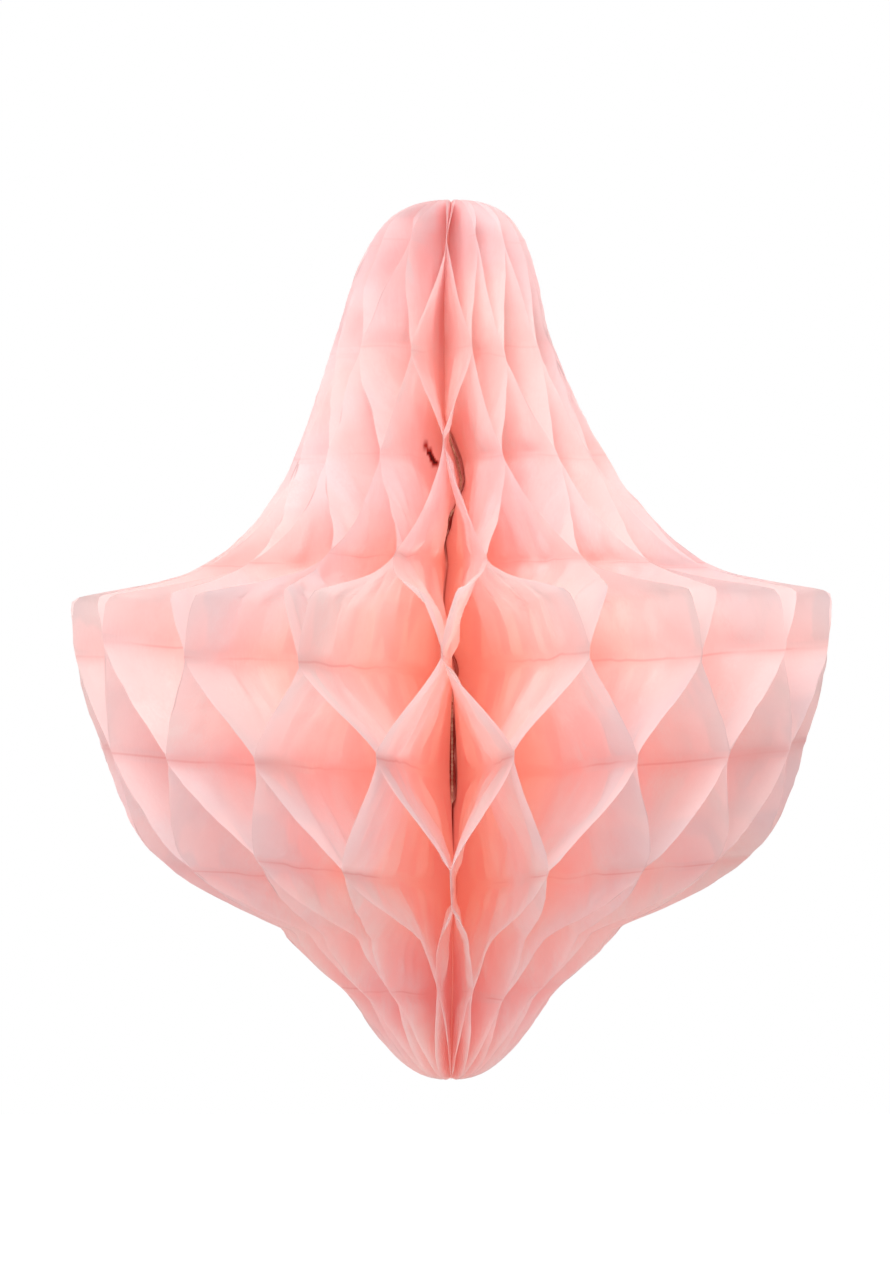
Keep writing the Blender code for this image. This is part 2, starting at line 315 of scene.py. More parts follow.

# The painted shade of a parting reaches a little further into the leaves than the parting itself
SHADE_START, SHADE_FADE = 3.0, 2.0

# Leaf, distance from the spine, depth, half width and half length of slanting spots of painted shade, in
# millimetres
SHADE_SPOTS = [(20, 19.0, 88.0, 2.6, 4.4)]
SPOT_SLANT = 1.2
parting_random = np.random.default_rng(5)


def all_partings():
    """The partings that the picture shows, and others like them at the sides and back."""
    found = list(SEEN_PARTINGS)
    for ray in OTHER_RAYS:
        depth, length, width = parting_random.uniform(LEAST_PARTING, MOST_PARTING)
        found.append((ray, depth, length, width))
    return found


PARTINGS = all_partings()

# The spine's wander: depth, then shift to the right, in millimetres
SPINE_WANDER = [(0, 0), (15, -1.2), (35, -2.2), (74, -2.0), (82, -0.2), (88, 2.0), (95, 3.6), (99, 3.0)]
SPINE_WANDER += [(103, 1.6), (109, -0.8), (117, -2.6), (124, -1.4), (136, -2.6), (147, -2.2), (160, 0.3)]
SPINE_WANDER += [(205, 0.4), (260, 0.6), (300, 0)]
WANDER_DEPTHS, WANDER_SHIFTS = zip(*SPINE_WANDER)
WANDER_REACH = 26.0


def wander_at(depth):
    return np.interp(depth, WANDER_DEPTHS, WANDER_SHIFTS)


def front_opening(depth):
    """1 where a parting lies open at the front, and 0 where the spine is closed there."""
    opening = np.zeros_like(depth)
    for _, middle, half_length, _ in SEEN_PARTINGS:
        slope = OPENING_SLOPE * (1 - np.abs(depth - middle) / half_length)
        opening = np.maximum(opening, np.clip(slope, 0, 1))
    return opening


print("partings:", len(PARTINGS))

# %% [markdown]
# ## Opening one leaf
#
# The leaf's edge passes through its glue points and swings over between them, with a short straight stretch
# on each glue band and a slight ease at both ends. A row keeps one angle from the spine to the edge. At one
# place at the front a stray run of glue keeps two leaves together for longer.

# %% Swing of a leaf
SWING_EASE = 0.3

# The stray run of glue: line and ray, then its extra length in millimetres
LONG_GLUE = {(7, 18): 20.0}


def leaf_knots(leaf):
    """Ray and turn of this leaf at each glue band, and edge length and spine depth at the bands' ends."""
    rays, turns, edge_depths, spines, extra = [], [], [], [], []
    for line in range(LINE_COUNT + 2):
        ray = leaf if (line + leaf) % 2 else leaf - 1
        turn, depth, spine = GLUE[line, ray]
        rays.append(ray)
        turns.append(turn)
        edge_depths.append(depth)
        spines += [spine - BAND_HALF, spine + BAND_HALF]
        extra.append(LONG_GLUE.get((line, ray), 0.0))
    lengths = glue_lengths(edge_depths[1:-1], np.array(extra))
    return np.array(rays), np.array(turns), lengths, np.array(spines)


def swing(values, rows):
    """A value of each glue line, carried over to the rows between the lines with an ease."""
    place = np.interp(rows, KNOTS, np.repeat(np.arange(len(values)), 2))
    line = np.minimum(place.astype(int), len(values) - 2)
    share = place - line
    eased = share * share * (3 - 2 * share)
    share = share + SWING_EASE * (eased - share)
    return values[line] + share * (values[line + 1] - values[line])


def open_share(rows):
    """0 on a glue band and 1 halfway between two bands."""
    place = np.interp(rows, KNOTS, np.repeat(np.arange(LINE_COUNT + 2), 2))
    return np.sin(math.pi * (place % 1))


print("leaf 1 is glued at rays", leaf_knots(1)[0].tolist())

# %% [markdown]
# ## The cut edge, the columns and the creases
#
# A cut edge of tissue is a little wavy, so its radius gets a long and a short wave. The creases aren't
# quite straight between the spine and the edge. Their drift depends on the ray and not on the leaf, so that
# two leaves that share a glue line drift together.

# %% Edge, columns and drift
EDGE_WAVE, LONG_WAVE, SHORT_WAVE, SHORT_WAVE_SHARE = 0.35, 7, 2.6, 0.6
FULL_WAVE_RADIUS = 40
CREASE_DRIFT, FULL_DRIFT_RADIUS = 1.1, 60
DRIFT_LENGTH, SHORT_DRIFT_LENGTH, DRIFT_DEPTH, SHORT_DRIFT_SHARE = 13, 4, 30, 0.4
DRIFT_RAY_STEP = 1.3

# How far one leaf's place in each noise is from its neighbour's
WAVE_STEPS = (3.0, 5.0)


def leaf_edge(leaf, lengths):
    """Radius and depth of the cut edge at each row."""
    along = np.clip(np.interp(ROWS, KNOTS, lengths), 0, TOTAL_LENGTH)
    along[0], along[-1] = 0, TOTAL_LENGTH
    edge_radius = np.interp(along, EDGE_LENGTH, EDGE_RADIUS)
    edge_depth = np.interp(along, EDGE_LENGTH, EDGE_DEPTH)
    wave = lattice_noise(along / LONG_WAVE, np.full(len(along), leaf * WAVE_STEPS[0]), WAVE_SEEDS[0])
    short = lattice_noise(along / SHORT_WAVE, np.full(len(along), leaf * WAVE_STEPS[1]), WAVE_SEEDS[1])
    wave += SHORT_WAVE_SHARE * short
    return edge_radius + EDGE_WAVE * wave * np.minimum(1, edge_radius / FULL_WAVE_RADIUS), edge_depth


def column_radii(radius):
    """Distances from the spine for one row's columns."""
    shares = np.arange(COLUMN_COUNT) / (COLUMN_COUNT - 1)
    start, inner = len(SPINE_COLUMNS), SPINE_COLUMNS[0]
    near = np.minimum(SPINE_COLUMNS, inner + (radius - inner) * shares[:start])
    outer = np.linspace(near[-1], radius, COLUMN_COUNT - start + 1)[1:]
    return np.concatenate([near, outer])


def crease_drift(radius, depth, share, ray, edge_radius):
    """How far a crease strays down or up from its straight line, in millimetres."""
    down = depth / DRIFT_DEPTH
    drift = lattice_noise(radius / DRIFT_LENGTH + ray * DRIFT_RAY_STEP, down, DRIFT_SEEDS[0])
    drift += SHORT_DRIFT_SHARE * lattice_noise(radius / SHORT_DRIFT_LENGTH + ray, down, DRIFT_SEEDS[1])
    inside = share * (1 - share) * 4
    return CREASE_DRIFT * drift * inside * np.minimum(1, edge_radius / FULL_DRIFT_RADIUS)


print("columns at the brim:", np.round(column_radii(EDGE_RADIUS.max())[:8], 1), "... mm")

# %% [markdown]
# ## Bends and the crown's folded edges
#
# Pleats and crumple push a leaf to the side, most in the open middle of a cell. They fade out at the glue,
# at the spine and towards the cut edge. A leaf bends within its own sector, between its two rays, so that
# it hardly ever reaches its neighbours. At the crown the cells are pressed almost shut, most of all on the
# left: there the leaves' edges lie over like shingles, away from the front.

# %% Bends and folds
PLEAT_HEIGHT, CRUMPLE_HEIGHT = 1.2, 1.9
PLEAT_WIDTH, PLEAT_LENGTH, PLEAT_SLANT, FINE_PLEAT_SHARE = 6, 30, 90, 0.5
FINE_PLEATS_ACROSS, FINE_PLEATS_DOWN = 1.9, 1.6
CRUMPLE_WIDTH, CRUMPLE_LENGTH, CRUMPLE_SLANT = 13, 14, 40
FREE_FROM_GLUE, FREE_FROM_SPINE, FREE_RADIUS = 3, 3, 30
EDGE_FADE, EDGE_BEND = 14, 0.2
ROOM_SHARE, LEAST_ROOM = 0.7, 0.001
PLEAT_STEPS, CRUMPLE_STEP = (7.3, 1.7), 3.1

# Depth and shift of the folded edges in millimetres, then ray and the share of that shift
FOLD_DEPTHS = (0, 8, 60, 95, 120, 300)
FOLD_SHIFTS = (0, 6.0, 10.0, 9.0, 0, 0)
FOLD_RAYS = (1, 5, 13, 17.4, 18.4, 21.5, 31, 35)
FOLD_SHARES = (0, -0.5, -0.5, 0, 0, 1, 1, 0)
FOLD_WIDTH, FOLD_CURVE, FOLD_DRAW = 26.0, 1.6, 0.25
FOLD_UNEVEN, FOLD_UNEVEN_RAYS, FOLD_UNEVEN_DEPTH = 0.5, 3, 16


def leaf_bends(leaf, radius, depth, share, ray, edge_distance):
    """Pleats and crumple: the bend to the side, its height before it is held, and how free it is."""
    across = radius / PLEAT_WIDTH + leaf * PLEAT_STEPS[0]
    down = depth / PLEAT_LENGTH + leaf * PLEAT_STEPS[1] + radius / PLEAT_SLANT
    pleats = lattice_noise(across, down, PLEAT_SEEDS[0])
    fine = lattice_noise(across * FINE_PLEATS_ACROSS, down * FINE_PLEATS_DOWN, PLEAT_SEEDS[1])
    pleats = pleats + FINE_PLEAT_SHARE * fine
    across = radius / CRUMPLE_WIDTH + leaf * CRUMPLE_STEP
    down = depth / CRUMPLE_LENGTH + radius / CRUMPLE_SLANT
    crumple = lattice_noise(across, down, CRUMPLE_SEED, faceted=True)
    height = PLEAT_HEIGHT * pleats + CRUMPLE_HEIGHT * crumple
    off_glue = np.minimum(1, open_share(ROWS)[:, None] * FREE_FROM_GLUE)
    free = off_glue * np.minimum(1, share * FREE_FROM_SPINE) * np.minimum(1, radius / FREE_RADIUS)
    bend = height * free * np.clip(edge_distance / EDGE_FADE, EDGE_BEND, 1)
    room = np.where(bend > 0, leaf - ray, ray - leaf + 1) * STEP * radius * ROOM_SHARE
    room = np.maximum(room, LEAST_ROOM)
    return room * np.tanh(bend / room), height, free


def fold_at(ray, depth, edge_distance):
    """How far the leaf lies over to the side, in millimetres."""
    edge = np.interp(ray, FOLD_RAYS, FOLD_SHARES) * np.interp(depth, FOLD_DEPTHS, FOLD_SHIFTS)
    folded = edge * np.clip(1 - edge_distance / FOLD_WIDTH, 0, 1) ** FOLD_CURVE
    uneven = lattice_noise(0 * depth + ray / FOLD_UNEVEN_RAYS, depth / FOLD_UNEVEN_DEPTH, FOLD_SEED)
    return folded * (1 + FOLD_UNEVEN * uneven)


print("most fold of the crown's edges:", max(FOLD_SHIFTS), "mm, before its unevenness")

# %% [markdown]
# ## Pushing the leaves apart
#
# A parting pushes the leaves on its two sides away from each other, and paints them dark as far as it
# reaches: painted shade in the slot. The one spot of painted shade beside the front of the spine is a
# ragged, slanting blot.

# %% Partings in one leaf
FACING_SLOPE = 1.6
BLOT_STRENGTH, BLOT_EDGE, BLOT_SLOPE = 1.6, 1.2, 1.8
BLOT_RAGGED, BLOT_GRAIN = 0.5, (1.9, 2.2)


def part_leaf(x, y, radius, depth, angle, leaf):
    """Pushes the leaf aside at each parting, and says how dark each point is painted there, as painted
    shade.
    """
    spine_shade = np.zeros_like(x)
    for ray, middle, half_length, half_width in PARTINGS:
        ray_angle = ray * STEP
        along = np.clip(1 - ((depth - middle) / half_length) ** 2, 0, 1) ** 0.5
        facing = np.clip(FACING_SLOPE * np.cos(angle - ray_angle), 0, 1)
        side = 1.0 if (leaf - ray - 0.5) % LEAF_COUNT < LEAF_COUNT / 2 else -1.0
        push = side * half_width * along * facing * np.exp(-((radius / PARTING_REACH) ** 2))
        x += push * math.cos(ray_angle)
        y += -push * math.sin(ray_angle)
        shade_reach = SHADE_START + half_width
        spine_shade = np.maximum(spine_shade, along * facing * np.clip((shade_reach - radius) / SHADE_FADE, 0, 1))
    for spot_leaf, spot_radius, spot_depth, half_width, half_length in SHADE_SPOTS:
        if spot_leaf == leaf:
            below = depth - spot_depth
            far = np.hypot((radius - spot_radius + SPOT_SLANT * below) / half_width, below / half_length)
            ragged = BLOT_RAGGED * lattice_noise(radius / BLOT_GRAIN[0], depth / BLOT_GRAIN[1], SPOT_SEED)
            blot = BLOT_STRENGTH * np.clip((BLOT_EDGE + ragged - far) * BLOT_SLOPE, 0, 1)
            spine_shade = np.maximum(spine_shade, blot)
    return x, y, spine_shade


# The spots are painted shade
print("spots of painted shade:", len(SHADE_SPOTS))

# %% [markdown]
# ## The points of a leaf
#
# Now the pieces come together. First come the radius and depth of every point, then its angle round the
# spine, then the bends, the folds, the lean and wander of the whole bell, and the partings. The same
# function gives the values that the material reads, because they follow from the same shapes.

# %% Points and shades of a leaf
GLUE_HALF_GAP, FULL_GAP_RADIUS = 0.07, 8
SEAM_HALF_GAP, SEAM_RADIUS = 0.95, 4.0
TURN_SLOPE, LEAN_GROWTH = 1.5, 1.4

# Painted shade near the cut edge is strongest in the bowl, and weaker at the crown and the tip: depth, then
# share
EDGE_SHADE_DEPTHS = (112, 134, 215, 250)
EDGE_SHADE_SHARES = (0.55, 1, 1, 0.1)
EDGE_SHADE_WIDTH = 32
# Painted shade along the creases: weaker at the crown, and uneven along each crease
BRIM_DEPTH, BRIM_FADE, CROWN_CREASE = 112, 22, 0.35
CREASE_START, CREASE_RISE = 0.35, 0.4
CREASE_SHADE_WIDTH, CREASE_SHADE_STEP = 16, 2.3
CREASE_SHADE_BASE, CREASE_SHADE_SWING, CREASE_SHADE_OUTWARD = 0.3, 1.1, 0.5
# Pleat height, in millimetres, of the full rise and fall that sets the painted shade in the pleats' valleys
RISE_HEIGHT = 1.4


def crease_shade(leaf, radius, share, depth):
    """How dark the painted shade along each crease is."""
    on_crease = np.clip(1 - np.abs((ROWS % 2) - 0.5) / CREASE_ROW, 0, 1)[:, None]
    on_crease = on_crease * np.clip((share - CREASE_START) / CREASE_RISE, 0, 1)
    rows = np.floor(ROWS)[:, None] / 2 + 0 * radius
    shade_noise = lattice_noise(radius / CREASE_SHADE_WIDTH + leaf * CREASE_SHADE_STEP, rows, CREASE_SHADE_SEED)
    strength = np.clip(CREASE_SHADE_BASE + CREASE_SHADE_SWING * shade_noise + CREASE_SHADE_OUTWARD * share, 0, 1)
    below_brim = np.clip((depth - BRIM_DEPTH) / BRIM_FADE, 0, 1)
    return on_crease * strength * (CROWN_CREASE + (1 - CROWN_CREASE) * below_brim)


def leaf_points(leaf):
    """The leaf's grid of points in metres, and the values that its finish needs at each of them."""
    rays, turns, lengths, spines = leaf_knots(leaf)
    edge_radius, edge_depth = leaf_edge(leaf, lengths)
    spine_depth = np.clip(np.interp(ROWS, KNOTS, spines), 0, BELL_HEIGHT / MM)
    spine_depth[0], spine_depth[-1] = 0, BELL_HEIGHT / MM
    radius = np.array([column_radii(value) for value in edge_radius])
    share = radius / edge_radius[:, None]
    edge_distance = edge_radius[:, None] - radius
    ray = swing(rays.astype(float), ROWS)[:, None]
    depth = spine_depth[:, None] + (edge_depth - spine_depth)[:, None] * share
    depth = depth + crease_drift(radius, depth, share, ray, edge_radius[:, None])

    seam = np.arcsin(SEAM_HALF_GAP / np.maximum(radius, SEAM_RADIUS))
    turn = swing(turns, ROWS)[:, None]
    angle = seam + ray * (2 * math.pi - 2 * seam) / LEAF_COUNT + turn * np.minimum(1, share * TURN_SLOPE)
    side = swing(np.where(rays == leaf, -1.0, 1.0), ROWS)[:, None]
    bend, height, free = leaf_bends(leaf, radius, depth, share, ray, edge_distance)
    crease = crease_shade(leaf, radius, share, depth)
    offset = side * GLUE_HALF_GAP * np.minimum(1, radius / FULL_GAP_RADIUS) + bend
    folded = fold_at(ray, depth, edge_distance)
    radius = radius - FOLD_DRAW * np.abs(folded)
    offset = offset + folded

    x = radius * np.sin(angle) + offset * np.cos(angle)
    y = radius * np.cos(angle) - offset * np.sin(angle)
    lean = np.clip((1 - np.cos(angle)) * LEAN_GROWTH, 0, 1) * lean_at(depth)
    near_spine = np.clip(1 - radius / WANDER_REACH, 0, 1)
    x += lean * (1 - near_spine**2) + wander_at(depth) * near_spine**2 * (3 - 2 * near_spine)
    x, y, spine_shade = part_leaf(x, y, radius, depth, angle, leaf)
    points = np.stack([x, y, x * TILT - depth], axis=-1) * MM
    # Painted shade: the outer paper near the cut edge is tinted greyer, most in the bowl
    painted_edge_shade = np.clip(1 - edge_distance / EDGE_SHADE_WIDTH, 0, 1)
    shades = {
        "edge_distance": edge_distance,
        "painted_spine_shade": spine_shade,
        "painted_edge_shade": painted_edge_shade * np.interp(depth, EDGE_SHADE_DEPTHS, EDGE_SHADE_SHARES),
        "crease": crease,
        "rise": 0.5 + 0.5 * np.clip(height * side / RISE_HEIGHT, -1, 1) * free,
    }
    return points, shades


test_points, test_shades = leaf_points(1)
print("leaf 1 spans", np.round(np.ptp(test_points.reshape(-1, 3), axis=0), 3), "m")
print("values for the finish:", ", ".join(test_shades))

# %% [markdown]
# ## A finish for tissue paper
#
# Tissue is so thin that light goes through it, and each layer tints that light. The pale pink at the edges
# and the strong coral deep in the cells are one and the same paper: light that has bounced between the
# leaves many times has lost more and more of its blue and green. So the colour of the paper itself is a
# pale pink, and a Translucent shader is mixed with the plain one. The light does most of the rest, helped
# by the weak coral lamps that are described further down. Some of the rest is painted into the colour:
# painted light deep in from the cut edge, and painted shade near the cut edge, in the pleats' valleys,
# along the creases and in the slots at the spine.
#
# Card and tissue are both felted from fibres, so their cloudy grain is one node group, used by both.

# %% Paper fibre group
def new_group(name, inputs, outputs):
    """A shader node group with these float inputs and typed outputs, and its two end nodes."""
    group = bpy.data.node_groups.new(name, "ShaderNodeTree")
    for label, default in inputs:
        socket = group.interface.new_socket(label, in_out="INPUT", socket_type="NodeSocketFloat")
        socket.default_value = default
    for label, kind in outputs:
        group.interface.new_socket(label, in_out="OUTPUT", socket_type=kind)
    return group, group.nodes.new("NodeGroupInput"), group.nodes.new("NodeGroupOutput")


def add_math(tree, operation, first, second, clamp=False):
    """A Math node on two values or sockets, and its output."""
    node = tree.nodes.new("ShaderNodeMath")
    node.operation = operation
    node.use_clamp = clamp
    for socket, value in zip(node.inputs, (first, second)):
        if isinstance(value, (int, float)):
            socket.default_value = value
        else:
            tree.links.new(value, socket)
    return node.outputs[0]


def add_noise(tree, coordinates, scale, detail, roughness=0.5):
    """A noise texture on these coordinates, and its value."""
    node = tree.nodes.new("ShaderNodeTexNoise")
    node.inputs["Detail"].default_value = detail
    node.inputs["Roughness"].default_value = roughness
    if isinstance(scale, (int, float)):
        node.inputs["Scale"].default_value = scale
    else:
        tree.links.new(scale, node.inputs["Scale"])
    tree.links.new(coordinates, node.inputs["Vector"])
    return node.outputs["Fac"]


def paper_fibre_group():
    """Cloudy formation and fine fibres of felted paper: a mask for colour and a height for bump."""
    group, start, end = new_group(
        "paper_fibre",
        [("Cloud Scale", 90.0), ("Fibre Scale", 900.0), ("Fibre Share", 0.4)],
        [("Mask", "NodeSocketFloat"), ("Height", "NodeSocketFloat")],
    )
    place = group.nodes.new("ShaderNodeTexCoord").outputs["Object"]
    cloud = add_noise(group, place, start.outputs["Cloud Scale"], 1, 0.6)
    stretch = group.nodes.new("ShaderNodeMapping")
    stretch.inputs["Scale"].default_value = (1, 1, 0.35)
    group.links.new(place, stretch.inputs["Vector"])
    fibre = add_noise(group, stretch.outputs["Vector"], start.outputs["Fibre Scale"], 1, 0.7)
    fine = add_math(group, "MULTIPLY", fibre, start.outputs["Fibre Share"])
    rest = add_math(group, "SUBTRACT", 1.0, start.outputs["Fibre Share"])
    coarse = add_math(group, "MULTIPLY", cloud, rest)
    group.links.new(add_math(group, "ADD", fine, coarse), end.inputs["Mask"])
    group.links.new(fibre, end.inputs["Height"])
    return group


FIBRE_GROUP = paper_fibre_group()
print("group:", FIBRE_GROUP.name)

# %% [markdown]
# The tissue's colour starts from one pale pink, which soft patches and the clouds of the fibre group
# deepen. Five values come from the mesh, as attributes: the distance to the cut edge, which also sets the
# painted light deep in the leaves; the painted shade on the outer paper near the cut edge; the painted shade
# along a crease; the rise and fall of the pleats, whose valleys get painted shade; and the painted shade in
# the slots at the spine.

# %% Tissue material
TISSUE_PALE = (0.94, 0.865, 0.863)
TISSUE_DEEP = (0.95, 0.75, 0.745)
# Painted light: deep in from the cut edge the paper is painted lighter, where little light reaches
INNER_PAINTED_LIGHT = (0.998, 0.915, 0.875)
# Painted shade: the valleys of the pleats are painted a deeper pink
PAINTED_VALLEY_SHADE = (0.98, 0.74, 0.725)
# Painted shade: a greyer lilac on the outer paper near the cut edge
EDGE_SHADE_LILAC = (0.80, 0.69, 0.695)
PEACH, LILAC = (1.0, 0.985, 0.96), (0.985, 0.965, 0.975)
EDGE_GREY = (0.62, 0.49, 0.49)
# Painted shade along the creases
PAINTED_CREASE_SHADE = (0.74, 0.43, 0.41)
# Painted shade: dark maroon in the slots at the spine, and darker still in the one spot beside them
SHADE_MAROON, SHADE_DARK = (0.45, 0.09, 0.08), (0.10, 0.03, 0.03)
THROUGH_SHARE = 0.5

# Noise scales, and the range of each mask: the value that gives 0, then the value that gives 1
PATCH_SCALE, PATCH_RANGE, PATCH_SHARE = 55, (0.46, 0.56), 0.45
CLOUD_RANGE, CLOUD_SHARE = (0.42, 0.58), 0.4
INNER_RANGE = (6, 75)
UNEVEN_SCALE, UNEVEN_RANGE = 22, (0.0, 0.6)
TINT_SCALE, TINT_RANGE = 16, (0.40, 0.60)
VALLEY_RANGE, VALLEY_SHARE = (0.58, 0.40), 0.45
CUT_RANGE, CUT_SCALE, CUT_GRAIN = (0.8, 0.1), 60, (0.5, 0.8)
CREASE_SHARE = 0.45
DARK_SHADE_RANGE = (1.1, 1.5)
FIBRE_BUMP_HEIGHT = 0.0002


def mix_colours(tree, share, first, second):
    """A Mix node of two colours or sockets, and its colour output."""
    node = tree.nodes.new("ShaderNodeMix")
    node.data_type = "RGBA"
    tree.links.new(share, node.inputs["Factor"])
    for socket, value in ((node.inputs[6], first), (node.inputs[7], second)):
        if isinstance(value, tuple):
            socket.default_value = (*value, 1)
        else:
            tree.links.new(value, socket)
    return node.outputs[2]


def multiply_colours(tree, first, second):
    """A Mix node that multiplies two colour sockets, and its colour output."""
    node = tree.nodes.new("ShaderNodeMix")
    node.data_type = "RGBA"
    node.blend_type = "MULTIPLY"
    node.inputs["Factor"].default_value = 1
    tree.links.new(first, node.inputs[6])
    tree.links.new(second, node.inputs[7])
    return node.outputs[2]


def ramp(tree, value, low, high):
    """Value mapped so that low gives 0 and high gives 1, held at both ends."""
    node = tree.nodes.new("ShaderNodeMapRange")
    node.interpolation_type = "SMOOTHSTEP"
    node.inputs["From Min"].default_value = low
    node.inputs["From Max"].default_value = high
    tree.links.new(value, node.inputs["Value"])
    return node.outputs["Result"]


def attribute(tree, name):
    node = tree.nodes.new("ShaderNodeAttribute")
    node.attribute_name = name
    return node.outputs["Fac"]


def bump(tree, height, strength, distance):
    node = tree.nodes.new("ShaderNodeBump")
    node.inputs["Strength"].default_value = strength
    node.inputs["Distance"].default_value = distance
    tree.links.new(height, node.inputs["Height"])
    return node.outputs["Normal"]


def tissue_colour(tree, fibre_mask):
    """The paper's colour: clouds, painted light deep in, painted shade at the edge, valleys, creases and
    slots, and the cut line.
    """
    place = tree.nodes.new("ShaderNodeTexCoord").outputs["Object"]
    patches = ramp(tree, add_noise(tree, place, PATCH_SCALE, 1), *PATCH_RANGE)
    cloudy = add_math(tree, "MULTIPLY", ramp(tree, fibre_mask, *CLOUD_RANGE), CLOUD_SHARE)
    depth_of_pink = add_math(tree, "MULTIPLY_ADD", patches, PATCH_SHARE)
    tree.links.new(cloudy, depth_of_pink.node.inputs[2])
    colour = mix_colours(tree, depth_of_pink, TISSUE_PALE, TISSUE_DEEP)
    edge = attribute(tree, "edge_distance")
    # Painted light: the paper is painted lighter deep in from the cut edge
    colour = mix_colours(tree, ramp(tree, edge, *INNER_RANGE), colour, INNER_PAINTED_LIGHT)
    # Painted shade, greyer, near the cut edge, broken up by noise
    uneven = ramp(tree, add_noise(tree, place, UNEVEN_SCALE, 1), *UNEVEN_RANGE)
    painted_edge_shade = add_math(tree, "MULTIPLY", attribute(tree, "painted_edge_shade"), uneven)
    colour = mix_colours(tree, painted_edge_shade, colour, EDGE_SHADE_LILAC)
    warmth = ramp(tree, add_noise(tree, place, TINT_SCALE, 2), *TINT_RANGE)
    colour = multiply_colours(tree, colour, mix_colours(tree, warmth, PEACH, LILAC))
    # Painted shade in the valleys of the pleats
    valley = ramp(tree, attribute(tree, "rise"), *VALLEY_RANGE)
    colour = mix_colours(tree, add_math(tree, "MULTIPLY", valley, VALLEY_SHARE), colour, PAINTED_VALLEY_SHADE)
    grain = ramp(tree, add_noise(tree, place, CUT_SCALE, 1), *CUT_GRAIN)
    cut_line = add_math(tree, "MULTIPLY", ramp(tree, edge, *CUT_RANGE), grain)
    colour = mix_colours(tree, cut_line, colour, EDGE_GREY)
    # Painted shade along the creases
    crease = add_math(tree, "MULTIPLY", attribute(tree, "crease"), CREASE_SHARE)
    colour = mix_colours(tree, crease, colour, PAINTED_CREASE_SHADE)
    # Painted shade in the slots at the spine and in the spot beside them
    spine_shade = attribute(tree, "painted_spine_shade")
    colour = mix_colours(tree, spine_shade, colour, SHADE_MAROON)
    return mix_colours(tree, ramp(tree, spine_shade, *DARK_SHADE_RANGE), colour, SHADE_DARK)


def tissue_material():
    """Thin translucent tissue: half of the light goes through it, and both halves take its colour."""
    material = bpy.data.materials.new("tissue_paper")
    material.use_nodes = True
    tree = material.node_tree
    shader = tree.nodes["Principled BSDF"]
    fibre = tree.nodes.new("ShaderNodeGroup")
    fibre.node_tree = FIBRE_GROUP
    colour = tissue_colour(tree, fibre.outputs["Mask"])
    tree.links.new(colour, shader.inputs["Base Color"])
    shader.inputs["Roughness"].default_value = 0.85
    shader.inputs["Specular IOR Level"].default_value = 0.1
    normal = bump(tree, fibre.outputs["Height"], 0.25, FIBRE_BUMP_HEIGHT)
    tree.links.new(normal, shader.inputs["Normal"])
    through = tree.nodes.new("ShaderNodeBsdfTranslucent")
    tree.links.new(colour, through.inputs["Color"])
    tree.links.new(normal, through.inputs["Normal"])
    both = tree.nodes.new("ShaderNodeMixShader")
    both.inputs["Fac"].default_value = THROUGH_SHARE
    tree.links.new(shader.outputs["BSDF"], both.inputs[1])
    tree.links.new(through.outputs["BSDF"], both.inputs[2])
    tree.links.new(both.outputs["Shader"], tree.nodes["Material Output"].inputs["Surface"])
    return material


TISSUE = tissue_material()
print("material:", TISSUE.name)

# %% [markdown]
# ## Making the leaves
#
# Each leaf becomes one mesh, smooth-shaded, with its five attributes and a flat map of the sheet: across is
# the distance from the spine and down is the depth, as the leaf lay before it was opened. It stands for the
# CAD leaf of the same number.

# %% Leaf meshes
MAP_SIZE, MAP_MARGIN = 0.98, 0.01
SAME_ROW = 0.01


def grid_faces(rows, columns):
    """Corner numbers of the quads of a grid of points, row after row."""
    corner = np.arange((rows - 1) * columns).reshape(rows - 1, columns)[:, :-1].ravel()
    return np.stack([corner, corner + columns, corner + columns + 1, corner + 1], axis=1)


def add_leaf_map(mesh, faces, points):
    """A UV map of the leaf laid flat, so that a texture lies on it without stretching."""
    flat = np.stack([np.hypot(points[..., 0], points[..., 1]), points[..., 2]], axis=-1).reshape(-1, 2)
    flat = (flat - flat.min(axis=0)) / np.ptp(flat, axis=0).max() * MAP_SIZE + MAP_MARGIN
    layer = mesh.uv_layers.new(name="OFBake")
    layer.data.foreach_set("uv", flat[faces.ravel()].astype(np.float32).ravel())


def sharpen_creases(mesh, columns):
    """Breaks the smooth shading along the rows in the middle of the glue bands."""
    ends = np.empty(2 * len(mesh.edges), np.int32)
    mesh.edges.foreach_get("vertices", ends)
    first, second = (ends.reshape(-1, 2) // columns).T
    creased = np.abs(ROWS % 2 - 0.5) < SAME_ROW
    sharp = mesh.attributes.new("sharp_edge", "BOOLEAN", "EDGE")
    sharp.data.foreach_set("value", (first == second) & creased[first])


def add_values(mesh, shades):
    """The values that a material reads, as attributes of the mesh's points."""
    for name, values in shades.items():
        layer = mesh.attributes.new(name, "FLOAT", "POINT")
        layer.data.foreach_set("value", values.astype(np.float32).ravel())


def add_object(name, data):
    """A new object in the scene, with this mesh or lamp."""
    added = bpy.data.objects.new(name, data)
    bpy.context.scene.collection.objects.link(added)
    return added


def make_leaf(number):
    """One opened tissue leaf in place of its CAD node."""
    points, shades = leaf_points(number)
    faces = grid_faces(*points.shape[:2])
    mesh = bpy.data.meshes.new(f"tissue_{number:02d}")
    mesh.from_pydata(points.reshape(-1, 3).tolist(), [], faces.tolist())
    add_values(mesh, shades)
    add_leaf_map(mesh, faces, points)
    mesh.materials.append(TISSUE)
    mesh.shade_smooth()
    sharpen_creases(mesh, points.shape[1])
    leaf = add_object(f"tissue_{number:02d}", mesh)
    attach(leaf, "root")
    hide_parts(f"leaf_{number:02d}")
    return leaf


